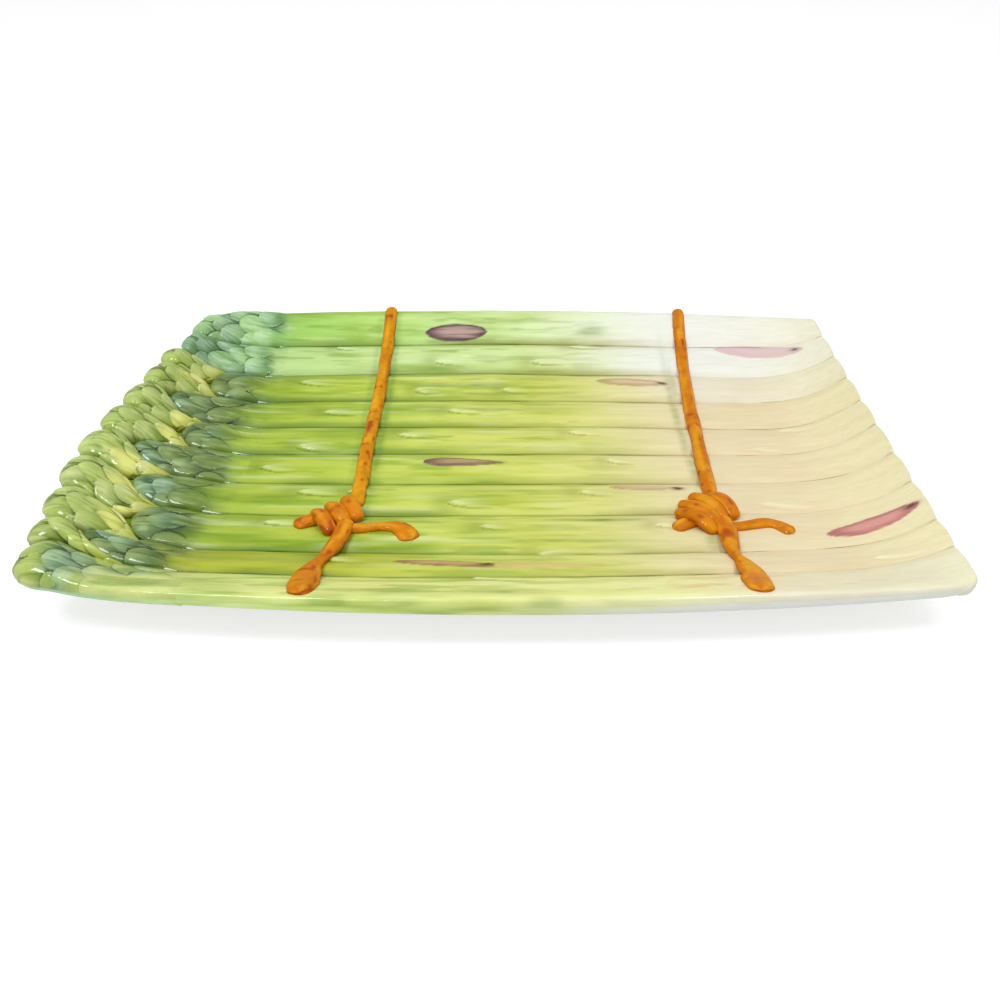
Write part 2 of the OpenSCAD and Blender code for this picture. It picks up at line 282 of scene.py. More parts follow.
def bract_parts(x, y):
    """Relief height, tint and strength of the purple bracts at a place."""
    height, strength = zeros(x, 2)
    tint = np.zeros(x.shape + (3,))
    for (x0, y0), (x1, y1), width, dark, tail, dot, rim_colour, fill in BRACTS:
        length = math.hypot(x1 - x0, y1 - y0)
        ax, ay = (x1 - x0) / length, (y1 - y0) / length
        p = ((x - x0) * ax + (y - y0) * ay) / length
        q = (-(x - x0) * ay + (y - y0) * ax) / (width / 2)
        almond = np.clip(p, 0, 1) ** 0.5 * np.clip(1 - p, 0, 1) ** (0.5 + tail) * (1.9 + 1.6 * tail)
        inside = almond - np.abs(q) + 0.05 * noise(x, y, 5, 0.9, 71)
        within = (p > 0) & (p < 1)
        mask = smooth(-0.03, 0.10, inside) * within
        middle = smooth(0.15, 0.7, inside + 0.25 * noise(x, y, 12, 0.8, 72)) * smooth(0.0, 0.35, p)
        spot = dot * np.exp(-((p - 0.91) * length / 3.0) ** 2 - (q * width / 2 / 1.5) ** 2)
        share = mask * dark * (1 - 0.4 * tail * np.clip(p, 0, 1))
        shade = mix(linear(rim_colour) + 0 * tint, linear(fill), middle)
        shade = mix(shade, BRACT_DOT, spot * 1.2)
        share = np.maximum(share, np.clip(spot * 1.3, 0, 0.95))
        height += BRACT_HEIGHT * smooth(0, 0.4, inside) * within
        take = share > strength
        tint = np.where(take[..., None], shade, tint)
        strength = np.where(take, share, strength)
    return height, tint, strength


# Colour stops of the glaze along X
COLOUR_X = [-170, -125, -96, -60, -25, 20, 45, 77, 104, 140, 180]
LIGHT = [
    (60, 72, 28), (64, 74, 22), (73, 80, 26), (78, 84, 33), (83, 87, 40), (86, 87, 44), (89, 88, 52),
    (93, 88, 67), (93, 86, 71), (94, 86.5, 71), (97, 93, 76),
]
DEEP = [
    (36, 54, 14), (42, 58, 6), (50, 63, 5), (55, 68, 7), (60, 70, 10), (67, 73, 18), (76, 77, 28),
    (83, 81, 52), (89, 81, 63), (89, 80, 63), (90, 82, 62),
]
WHITE_LIGHT = [
    (52, 74, 40), (56, 78, 38), (66, 84, 38), (74, 89, 46), (80, 92, 60), (87, 95, 70), (91, 95, 80),
    (95, 96, 91), (96, 96, 94), (96, 95, 91), (96, 94, 84),
]
GROOVE = [
    (24, 38, 12), (30, 44, 7), (38, 50, 7), (42, 53, 8), (48, 57, 11), (56, 60, 17), (62, 63, 24),
    (72, 68, 38), (82, 72, 53), (85, 75, 56), (80, 70, 50),
]
FACE = [
    (66, 86, 56), (82, 95, 58), (88, 97, 62), (85, 93, 50), (86, 92, 52), (90, 93, 66), (93, 94, 80),
    (94, 94, 90), (94, 94, 92), (94, 94, 91), (94, 94, 90),
]

STROKE_GREEN = linear((42, 60, 10))
STROKE_PALE = linear((92, 94, 72))
POOL_GREEN = linear((36, 54, 7))
# Painted highlight on the leaf scars
SCAR_HIGHLIGHT = linear((95, 96, 78))
NOTCH_SHADE = linear((62, 58, 50))
BRACT_DOT = linear((38, 12, 18))
CUT_CREAM = linear((93, 91, 84))
LIP_WHITE = linear((90, 91, 86))
CORNER_TOP = linear((92, 92, 86))
CORNER_LOW = linear((90, 91, 88))
BODY_WHITE = linear((90, 89, 84))

# Painted darker green pools: X, Y, length, width, strength
POOLS = [
    (0, 39, 70, 3, 0.55), (26, 60, 50, 3, 0.35), (-38, 38, 40, 4, 0.5), (10, -33, 60, 2.6, 0.4),
    (45, -55, 46, 3.2, 0.75), (-52, -20, 8, 60, 0.35), (-52, 60, 8, 70, 0.30), (-20, -80, 90, 2.6, 0.55),
    (84, -80, 26, 2.6, 0.75), (92, -74, 6, 12, 0.5), (-8, 62, 44, 5, 0.4), (-66, -112, 14, 10, 0.8),
    (-40, -118, 40, 5, 0.5), (6, -118, 36, 5, 0.45), (22, -126, 12, 6, 0.9), (-44, -66, 34, 4, 0.6),
    (-34, -78, 30, 5, 0.5), (80, -60, 8, 6, 0.45), (40, 76, 60, 4, 0.3), (-70, 20, 26, 6, 0.3),
    (56, 108, 16, 6, 0.5), (95, 62, 5, 40, 0.35), (94, -10, 5, 40, 0.35), (-98, 40, 22, 12, 0.3),
    (-98, -40, 22, 10, 0.35), (-51.8, 30, 5, 170, 0.75), (-61.5, 40, 4, 150, 0.35),
    (-60, -70, 30, 4, 0.5), (-66, -84, 26, 6, 0.5), (93, 30, 4, 120, 0.4), (-40, 20, 30, 7, 0.4),
    (-35, 42, 26, 8, 0.4), (-30, 62, 40, 6, 0.35), (30, -72, 60, 3, 0.4), (-56, -125, 14, 8, 0.9),
]


def stalk_paint(k, x, y, u, outer):
    """Brushed glaze on a spear: u runs across it, and outer is 1 on the rim's outside face."""
    light = stops(x, COLOUR_X, LIGHT)
    if k <= 2:
        share = 0.95 if k == 1 else 0.72 + 0.25 * smooth(30, 85, x)
        light = mix(light, stops(x, COLOUR_X, WHITE_LIGHT), share)
    if k == 2:
        light = mix(light, linear((88, 96, 74)), 0.45 * (1 - smooth(-30, 20, x)))
    if k == 3:
        light = mix(light, stops(x, COLOUR_X, WHITE_LIGHT), 0.45 * smooth(70, 110, x))
    if k == SPEARS:
        light = mix(light, linear((95, 95, 66)), 0.65 * (1 - smooth(60, 110, x)))
        light = mix(light, linear((93, 92, 82)), 0.6 * smooth(80, 130, x))
    deep = stops(x, COLOUR_X, DEEP)
    groove = stops(x, COLOUR_X, GROOVE)
    fade = 1 - smooth(-20, 105, x)
    fine = noise(x, y, 24, 2.2, 21 + k) * 0.5 + noise(x, y, 9, 1.0, 41 + k) * 0.25
    broad = noise(x, y, 34, 5.0, 61 + k)
    wash = 0.30 + 0.50 * broad + 0.60 * fine
    if k <= 2:
        wash = wash - smooth(50, 85, x) * 0.6 - 0.1
    if k == SPEARS:
        wash = wash - 0.35
    colour = mix(light, deep, np.clip(wash, 0, 1) * (0.30 + 0.60 * fade))
    strokes = smooth(0.25, 0.7, noise(x, y, 26, 2.2, 81 + k) + 0.35 * noise(x, y, 7, 1.0, 91)) * fade
    colour = mix(colour, STROKE_GREEN, 0.42 * strokes)
    paler = smooth(0.35, 0.8, noise(x, y, 30, 3.0, 171 + k)) * (0.4 + 0.6 * fade)
    colour = mix(colour, STROKE_PALE, 0.35 * paler)
    if k == SPEARS - 1:
        colour = mix(colour, linear((74, 69, 11)), 0.42 * (1 - smooth(-62, 0, x)))
    pool = np.zeros_like(x)
    dabs = 0.8 + 0.4 * noise(x, y, 7, 1.5, 151)
    for px, py, length, width, strength in POOLS:
        spread = ((x - px) / (length / 2)) ** 2 + ((y - py) / (width / 2)) ** 2
        pool = np.maximum(pool, strength * np.exp(-spread ** 1.5) * dabs)
    colour = mix(colour, POOL_GREEN, np.clip(pool, 0, 0.85))
    soft = 1 - 0.82 * smooth(75, 115, x)
    broken = np.clip(0.55 + 0.9 * noise(x, y * 0, 38, 1, 131 + k), 0.1, 1)
    below = np.where(u < 0, 1.0, 0.55)
    edge = smooth(0.52, 1.0, np.abs(u) + 0.06 * fine)
    line = smooth(0.94, 0.985, np.abs(u) + 0.01 * fine)
    colour = mix(colour, groove, edge * (0.12 + 0.62 * broken * below) * soft)
    colour = mix(colour, groove * 0.72, line * (0.5 + 0.45 * broken) * soft)
    if np.any(outer > 0):
        face = stops(x + 6 * noise(x, y, 14, 3, 111), COLOUR_X, FACE)
        face = mix(face, deep, np.clip(0.55 * noise(x, y, 17, 2.5, 112) + 0.5 * fine + 0.1, 0, 1) * fade)
        colour = mix(colour, face, outer)
    return colour


# Mesh building

UP = np.array([0.0, 0.0, 1.0])


def new_object(name, data):
    made = bpy.data.objects.new(name, data)
    bpy.context.scene.collection.objects.link(made)
    return made


class Builder:
    """Collects the grids that make up one piece."""

    def __init__(self):
        self.points, self.quads, self.colours, self.count = [], [], [], 0

    def add(self, points, colours, wrap=False, flip=False):
        """Adds a grid of points, joined round across its columns if wrap is set."""
        rows, columns = points.shape[:2]
        for i in range(rows - 1):
            for j in range(columns if wrap else columns - 1):
                a = self.count + i * columns + j
                b = self.count + i * columns + (j + 1) % columns
                quad = (a, b, b + columns, a + columns)
                self.quads.append(quad[::-1] if flip else quad)
        self.points.append(points.reshape(-1, 3))
        self.colours.append(np.broadcast_to(colours, points.shape).reshape(-1, 3))
        self.count += rows * columns

    def cap(self, ring, colour, flip=False):
        """Closes a ring of points with a fan round its middle."""
        n = len(ring)
        self.points.append(np.vstack([ring, ring.mean(0)]))
        self.colours.append(np.broadcast_to(colour, (n + 1, 3)))
        for i in range(n):
            tri = (self.count + i, self.count + (i + 1) % n, self.count + n)
            self.quads.append(tri[::-1] if flip else tri)
        self.count += n + 1

    def finish(self, name, node, material):
        """Makes a smooth-shaded mesh in metres with its glaze painted on its points."""
        mesh = bpy.data.meshes.new(name)
        mesh.from_pydata((np.vstack(self.points) * MM).tolist(), [], self.quads)
        mesh.polygons.foreach_set("use_smooth", [True] * len(mesh.polygons))
        layer = mesh.color_attributes.new("glaze", "FLOAT_COLOR", "POINT")
        rgba = np.ones((self.count, 4))
        rgba[:, :3] = np.clip(np.vstack(self.colours), 0, 1)
        layer.data.foreach_set("color", rgba.ravel())
        mesh.update()
        piece = new_object(name, mesh)
        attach(piece, "root")
        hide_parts(node)
        mesh.materials.append(material)


# Materials

WHITE = (1, 1, 1, 1)


def feed(tree, node, inputs):
    """Gives each input of a node its value, or links another node's output to it."""
    for key, value in inputs.items():
        if isinstance(value, bpy.types.NodeSocket):
            tree.links.new(value, node.inputs[key])
        else:
            node.inputs[key].default_value = value
    return node


def add_node(tree, kind, inputs, **settings):
    """A new shader node with its settings and its inputs."""
    node = tree.nodes.new("ShaderNode" + kind)
    for name, value in settings.items():
        setattr(node, name, value)
    return feed(tree, node, inputs)


def glaze_material(name, roughness, streak_size, streak_depth, bump_size, bump_depth, coat=0.8):
    """Painted glaze under a clear glossy coat, with fine streaks and a slightly uneven surface."""
    material = bpy.data.materials.new(name)
    material.use_nodes = True
    tree = material.node_tree
    paint = add_node(tree, "VertexColor", {}, layer_name="glaze")
    place = add_node(tree, "TexCoord", {}).outputs["Object"]
    stretch = add_node(tree, "Mapping", {"Vector": place, "Scale": streak_size})
    streaks = add_node(tree, "TexNoise", {"Vector": stretch.outputs["Vector"], "Scale": 1.0,
                                          "Detail": 5.0, "Roughness": 0.6})
    ramp = add_node(tree, "ValToRGB", {"Fac": streaks.outputs["Fac"]})
    streak, plain = ramp.color_ramp.elements
    streak.position, plain.position = 0.30, 0.66
    low = 1 - streak_depth
    streak.color = (low, low * 1.01, low * 0.94, 1)
    plain.color = WHITE
    blend = add_node(tree, "Mix", {"Factor": 1.0, "A": paint.outputs["Color"], "B": ramp.outputs["Color"]},
                     data_type="RGBA", blend_type="MULTIPLY")
    skin = add_node(tree, "TexNoise", {"Vector": place, "Scale": bump_size, "Detail": 3.0})
    bump = add_node(tree, "Bump", {"Strength": 0.35, "Distance": bump_depth, "Height": skin.outputs["Fac"]})
    normal = bump.outputs["Normal"]
    feed(tree, tree.nodes["Principled BSDF"], {
        "Base Color": blend.outputs["Result"], "Normal": normal, "Coat Normal": normal,
        "Roughness": roughness, "IOR": 1.5, "Specular IOR Level": 0.0,
        "Coat Weight": coat, "Coat Roughness": 0.03})
    return material


stalk_glaze = glaze_material("stalk_glaze", 0.40, (70, 520, 400), 0.08, 90, 0.0007)
head_glaze = glaze_material("head_glaze", 0.40, (120, 240, 240), 0.16, 150, 0.0007, 1.0)
tie_glaze = glaze_material("tie_glaze", 0.40, (260, 260, 260), 0.26, 300, 0.0010, 0.38)
white_glaze = glaze_material("white_glaze", 0.40, (60, 60, 60), 0.05, 60, 0.0006)
bare_clay = glaze_material("bare_clay", 0.75, (500, 500, 500), 0.12, 900, 0.0004, 0.0)


# Outer face of the rim, below the rolled spears

FACE_STEPS = np.array([0.0, 0.12, 0.25, 0.4, 0.55, 0.7, 0.82, 0.91, 0.97, 1.0])


def face_paint(k, x, arc, share):
    """Glaze of the rim's outer face, from its top at 0 to the lip at 1."""
    colour = stalk_paint(k, x, arc, x * 0, 0.35 + 0.65 * smooth(0.0, 0.35, share) + 0 * x)
    lower = smooth(0.7, 0.97, share) * (0.25 + 0.5 * smooth(-60, 60, x))
    return mix(colour, LIP_WHITE, lower)


def add_face(build, k, edge):
    """A rim spear's outer face, from its outermost line down to the lip and a little way under it."""
    side = 1 if k == 1 else -1
    top, low = edge[:, 2], lip_z(edge[:, 0])
    rings = []
    for t in FACE_STEPS:
        inset = FACE_INSET * leaning(t)
        rings.append(np.stack([edge[:, 0], edge[:, 1] - side * inset, top + (low - top) * t], -1))
    rings.append(np.stack([edge[:, 0], edge[:, 1] - side * FACE_TUCK, low + 0.3], -1))
    rows = np.stack(rings, 1)
    shares = np.append(FACE_STEPS, 1.0)[None, :]
    arc = edge[:, 1][:, None] + (rows[..., 2] - edge[:, 2][:, None])
    build.add(rows, face_paint(k, rows[..., 0], arc, shares), flip=side < 0)
    return rows


# Stalks

STALK_COLUMNS = 43


def spread_across(count, bunched):
    """Places across a spear from -1 to 1, closer together toward its sides."""
    even = np.linspace(-1, 1, count)
    return bunched * np.sin(np.linspace(-math.pi / 2, math.pi / 2, count)) + (1 - bunched) * even


def corner_cut(y, x):
    """How much the platter's right corners are rounded off at a place across its depth."""
    into = np.clip(np.abs(y) - (half_depth(x) - CORNER_RADIUS), 0, CORNER_RADIUS)
    return CORNER_RADIUS - np.sqrt(CORNER_RADIUS ** 2 - into ** 2)


def add_corner(build, face_line, cut_line, side):
    """Closes the corner between the rim's outer face and the cut end, level by level."""
    levels = np.linspace(0, 1, 14)[:, None]
    z = face_line[0, 2] + levels * (face_line[-1, 2] - face_line[0, 2])
    ends = [np.concatenate([np.interp(-z, -line[:, 2], line[:, i]) for i in (0, 1)] + [z], 1)
            for line in (face_line, cut_line)]
    patch = np.stack([ends[0] * (1 - f) + ends[1] * f for f in (0, 0.35, 0.65, 1)], 1)
    build.add(patch, mix(CORNER_TOP + 0 * patch, CORNER_LOW, levels + 0 * patch[..., 0]), flip=side < 0)


def stalk_piece(k):
    """One stalk: a crowned top with scars and bracts, a cut end, and on the rims an outer face."""
    x_line = np.concatenate([np.arange(LEFT_RISE_X - 0.4, 120.0, 0.9), np.arange(120.0, CUT_X, 0.7), [CUT_X]])
    u_line = spread_across(STALK_COLUMNS, 0.55)
    x, u = np.meshgrid(x_line, u_line, indexing="ij")
    back, front = seam_y(k - 1, x), seam_y(k, x)
    y = (back + front) / 2 + u * (back - front) / 2
    reach = smooth(BODY_RIGHT - 26, BODY_RIGHT, x)
    cut_off = smooth(CUT_X - 12, CUT_X, x) * corner_cut(y, x)
    x = x + (SCALLOP - CUT_BULGE) * reach + reach * CUT_BULGE * (1 - np.abs(u) ** 2.4) - cut_off
    v = np.clip(y / half_depth(x), -1, 1)
    side = {1: 1, SPEARS: -1}.get(k, 0)
    outside = u * side > 0
    height = np.where(outside, rolled(np.abs(u), crown(0, x)), crown(u, x))
    height = height * (1 + 0.08 * noise(x, x * 0 + 9 * k, 40, 1, 5) * settled(x))
    scar_height, scar_highlight, scar_shadow = scar_parts(x, y)
    bract_height, bract_tint, bract_share = bract_parts(x, y)
    flat = np.where(outside, 1.0, smooth(0, 0.25, 1 - np.abs(u)))
    z = bed_z(x, v) + height + (scar_height + bract_height) * flat
    z += 0.12 * noise(x, y, 12, 3, 31 + k) * smooth(STALK_START, -100, x)
    seam_u = np.where(outside, 0.0, u)
    colour = stalk_paint(k, x, y, seam_u, np.where(outside, 0.35 * smooth(0.75, 1.0, np.abs(u)), 0))
    groove = stops(x, COLOUR_X, GROOVE)
    # Painted shadow under the leaf scars, then their painted highlight
    colour = mix(colour, groove, 0.8 * scar_shadow * (1 - 0.6 * smooth(70, 110, x)))
    colour = mix(colour, mix(colour, SCAR_HIGHLIGHT, 0.85), scar_highlight)
    colour = mix(colour, bract_tint, bract_share)
    # Painted shade in the notches where the seams meet the cut end
    notch_shade = smooth(0.93, 0.99, np.abs(seam_u)) * smooth(CUT_X - 3, CUT_X - 0.5, x)
    colour = mix(colour, NOTCH_SHADE, 0.45 * notch_shade)
    build = Builder()
    top = np.stack([x, y, z], -1)
    build.add(top, colour)
    cut = add_cut_end(build, top, colour)
    if side:
        rows = add_face(build, k, top[:, -1] if side > 0 else top[:, 0])
        add_corner(build, rows[-1, :-1], cut[:, -1] if side > 0 else cut[:, 0], side)
    build.finish(f"stalk_{k:02d}_glazed", f"stalk_{k:02d}", stalk_glaze)


def add_cut_end(build, top, colour):
    """The spear's cut end: rounded over, then down its face to the lip."""
    edge = top[-1]
    cream = mix(colour[-1], CUT_CREAM, 0.6)
    past = np.abs(edge[:, 1]) - (half_depth(CUT_X) - CORNER_RADIUS)
    corner = np.clip(past, 0, CORNER_RADIUS) / CORNER_RADIUS
    ahead = np.sqrt(1 - corner ** 2)
    out = np.stack([ahead, corner * np.sign(edge[:, 1]), 0 * corner], -1)
    rings, paints = [edge], [colour[-1]]
    for a in (15, 30, 45, 60, 75, 90):
        r = math.radians(a)
        fall = UP * EDGE_ROUND * (math.cos(r) - 1)
        rings.append(edge + out * (EDGE_ROUND * ahead * math.sin(r))[:, None] + fall)
        paints.append(cream)
    low = lip_z(edge[:, 0])
    rounded = rings[-1]
    for drop in (0.3, 0.6, 0.85, 1.0):
        down = (rounded[:, 2] - low) * drop
        inset = (CUT_INSET + (FACE_INSET - CUT_INSET) * corner) * leaning(drop)
        rings.append(rounded - out * inset[:, None] - UP * down[:, None])
        paints.append(cream * 0.97)
    build.add(np.stack(rings), np.stack(paints))
    return np.stack(rings)


# Heads. Rows run from the stalks to the tips; the spears' tips stand between the outer heads.

def nose(share):
    return np.sqrt(np.clip(1 - (1 - share) ** 2, 0, 1))


def spear_half(k, row):
    """Half the width of a spear's head where outer heads lie beside it, as a share of the half depth."""
    tip = TIP_ROWS[k - 1]
    narrowed = nose(np.clip((tip - row) / (tip - RIM_START_ROW), 0, 1))
    return half_share(k) * np.where(row < RIM_START_ROW, 1.0, narrowed)


def spear_borders(k, row):
    low = spear_half(k, row) if 1 < k < SPEARS else half_share(k) + row * 0
    high = spear_half(k, row) if 2 < k <= SPEARS else half_share(k) + row * 0
    return centre_v(k) - low, centre_v(k) + high


def rim_borders(s, row):
    return centre_v(s + 1) + spear_half(s + 1, row), centre_v(s) - spear_half(s, row)


def scale_layout(first, last, rng, size):
    """Bud scales in alternate rows from a head's tip to its base, in millimetres along and across it."""
    scales = []
    start = last - 11.0 * size
    turn = 0
    while start > first:
        spots = [-6.6, 6.2] if turn % 2 else [-12.5, -0.4, 12.0]
        for spot in spots:
            length = rng.uniform(13.5, 16.5) * size
            scales.append((start + rng.uniform(-1.4, 1.4), spot * size + rng.uniform(-1.2, 1.2), length,
                           rng.uniform(5.3, 7.0) * size, rng.uniform(1.3, 1.9), rng.uniform(-1, 1),
                           rng.uniform(-0.25, 0.25), rng.uniform(0.38, 0.62)))
        start -= rng.uniform(6.6, 7.8) * size
        turn += 1
    return scales


def scale_relief(s, w, scales):
    """Overlapping bud scales: height, tone, painted shadow line along the outlines, pale edge (glaze running
    thin, with a painted highlight), and a place's share along and across.
    """
    top, tone, pale, along, inner, line = zeros(s, 6)
    plates = []
    for s0, w0, length, half, lift, shade, skew, point in scales:
        p = (s - s0) / length
        held = np.clip(p, 0.001, 0.999)
        width = (2.1 + 1.1 * (point - 0.42)) * held ** 0.72 * (1 - held) ** point
        slope = width * (0.72 / held - point / (1 - held)) * half / length
        q = (w - w0 - skew * (s - s0 - length / 2)) / half
        gap = (width - np.abs(q)) * half / np.sqrt(1 + slope ** 2)
        beyond = np.minimum(np.abs(p), np.abs(p - 1)) * length
        gap = np.where((p > 0) & (p < 1), gap, -np.hypot(beyond, q * half))
        across = np.clip(np.abs(q) / np.maximum(width, 0.05), 0, 1)
        plate = lift * (0.12 + 0.88 * held ** 0.8) * (1 - 0.38 * across ** 2) * (1 - 0.22 * held ** 7)
        height = plate * smooth(-0.08, 0.5, gap)
        plates.append((gap, plate, p))
        take = height > top
        # Pale edge just inside each scale: glaze running thin, with a painted highlight
        rim_light = smooth(0.02, 0.22, gap) * (1 - smooth(0.3, 0.8, gap)) * smooth(0.2, 0.5, held)
        patchy = 0.35 + 0.9 * np.clip(noise(s, w, 5, 4, 305) + 0.3 * shade + 0.2, 0, 1)
        news = zip((height, shade, held, across, rim_light * patchy), (top, tone, along, inner, pale))
        top, tone, along, inner, pale = [np.where(take, new, old) for new, old in news]
    # Painted shadow line just outside each scale's edge, where that scale stands above the surface next to it
    for gap, plate, p in plates:
        near = np.exp(-((gap + 0.28) / 0.42) ** 2) * (p > 0.1)
        line = np.maximum(line, near * smooth(-0.1, 0.25, plate - top))
    return top, tone, line, pale, along, inner


# Each zone's base colour, its colour in the gaps (painted shade there and at the scales' bases) and the one
# on the scales' edges (thin glaze with a painted highlight)
ZONES = {
    "rim": ((67, 77, 34), (34, 44, 8), (93, 95, 66)),
    "valley": ((95, 94, 48), (62, 68, 8), (98, 97, 74)),
    "spear": ((39, 49, 20), (14, 24, 6), (72, 79, 50)),
    "teal": ((36, 55, 35), (8, 28, 18), (74, 88, 76)),
    "back": ((64, 82, 50), (28, 54, 22), (88, 96, 82)),
    "front": ((66, 74, 30), (28, 40, 8), (90, 92, 62)),
}
ZONES = {name: tuple(linear(c) for c in colours) for name, colours in ZONES.items()}
WEDGE_YELLOW = linear((60, 65, 13))
RIM_CREASE = linear((40, 48, 8))
SPEAR_CREASE = linear((20, 30, 8))
CORNER_BELLY_AND_SHEEN = linear((66, 85, 62))
BELLY = linear((46, 56, 28))


def zone_mix(a, b, share):
    share = np.asarray(share, float)
    return tuple(mix(np.broadcast_to(x, share.shape + (3,)), y, share) for x, y in zip(a, b))


def head_paint(k, row, x, y, s, relief, is_rim):
    """Glaze of a head: painted shade in the gaps and at the scales' bases, pale on the scales' edges where
    the glaze runs thin and as a painted highlight, yellow where outer heads begin.
    """
    _, tone, line, pale, along, inner = relief
    patch = noise(x, y, 13, 9, 301)
    if is_rim:
        zones = zone_mix(ZONES["valley"], ZONES["rim"], smooth(5.7, 7.7, row + 1.6 * patch + 1.0 * tone))
        zones = zone_mix(zones, ZONES["front"], smooth(-0.50, -0.85, y / half_depth(x)) * 0.8)
    else:
        zone, teal, patchy = ("spear", 0.22, 0.6)
        if k <= 2:
            zone, teal, patchy = ("back", 0.30, 0.5)
        if k == SPEARS:
            zone, teal, patchy = ("front", 0.25, 0.5)
        zones = zone_mix(ZONES[zone], ZONES["teal"], teal + patchy * patch + 0.3 * tone)
    base, deep, light = zones
    # Painted shade at each scale's base, under the scale before it
    colour = mix(base, deep, 0.15 + 0.14 * tone + 0.62 * (1 - smooth(0.0, 0.55, along)) + 0.12 * patch)
    colour = mix(colour, light, 0.42 * smooth(0.35, 0.8, along) * (1 - inner ** 2) * (1 + 0.5 * tone))
    veins = smooth(0.1, 0.8, noise(s, y, 8, 0.8, 302))
    colour = mix(colour, deep, 0.42 * veins)
    colour = mix(colour, light, 0.38 * smooth(0.2, 0.8, noise(s, y, 6, 1.2, 304)))
    # Pale edges: glaze running thin, with a painted highlight
    colour = mix(colour, light, 0.8 * pale)
    # Painted shadow line in the gaps between scales
    colour = mix(colour, deep * 0.45, 0.92 * line)
    if is_rim:
        colour = mix(colour, WEDGE_YELLOW, 0.7 * (1 - smooth(5.0, 6.6, row)))
    return colour


def row_x(row):
    return LEFT_RISE_X - ROW_RUN * np.minimum(row, LEFT_ROWS)


def place_on_bed(row, v, past, over):
    """A place on the bed at a row and a share across it, or past its left edge; the front corner is full."""
    base = row_x(row)
    x = plan_x(base, v)
    fuller = 1.5 * (half_depth(x) - half_depth(base)) * smooth(-0.6, -1.0, v)
    return x - past * over, v * (half_depth(base) + fuller), bed_z(base, np.clip(v, -1, 1))


def eased(grid, reach):
    """A grid of points smoothed along its rows, with both ends kept where they are."""
    spread = np.exp(-(np.arange(-reach, reach + 1) / (reach / 2.2)) ** 2 / 2)
    spread /= spread.sum()
    before = 2 * grid[:1] - grid[reach:0:-1]
    after = 2 * grid[-1:] - grid[-2:-reach - 2:-1]
    long = np.concatenate([before, grid, after])
    out = np.zeros_like(grid)
    for i, share in enumerate(spread):
        out += share * long[i:i + len(grid)]
    return out


def outward(grid):
    """Unit normals of a closed ring-by-ring grid, pointing away from its middle line."""
    along = np.gradient(grid, axis=0)
    around = (np.roll(grid, -1, 1) - np.roll(grid, 1, 1)) / 2
    normal = np.cross(along, around)
    normal /= np.maximum(np.linalg.norm(normal, axis=2, keepdims=True), 1e-9)
    away = grid - grid.mean(1, keepdims=True)
    flip = np.sign((normal * away).sum(2).mean())
    return normal * flip


def soft_limit(value, limit, ease=1.0):
    """Values eased so that they stay just under a limit."""
    over = np.maximum(0, value - (limit - ease))
    return np.where(value > limit - ease, limit - ease * np.exp(-over / ease), value)


# A head's height at its base, its growth, and the shares of its length that it grows between
GROWTH = {"rim": (1.0, 4.6, 0.0, 0.42), "spear": (3.0, 2.7, 0.05, 0.5), "front": (3.0, 1.6, 0.45, 0.8)}
TIP_RUN = 1.9
SCALE_SIZE = {"rim": 1.14, "spear": 1.16}
SKIN_HALF_WIDTH = 13.0
HEAD_COLUMNS = 69
UNDER_COLUMNS = 19
ROW_DETAIL = 15
TOP_Z = 34.7
TIP_X = 179.7


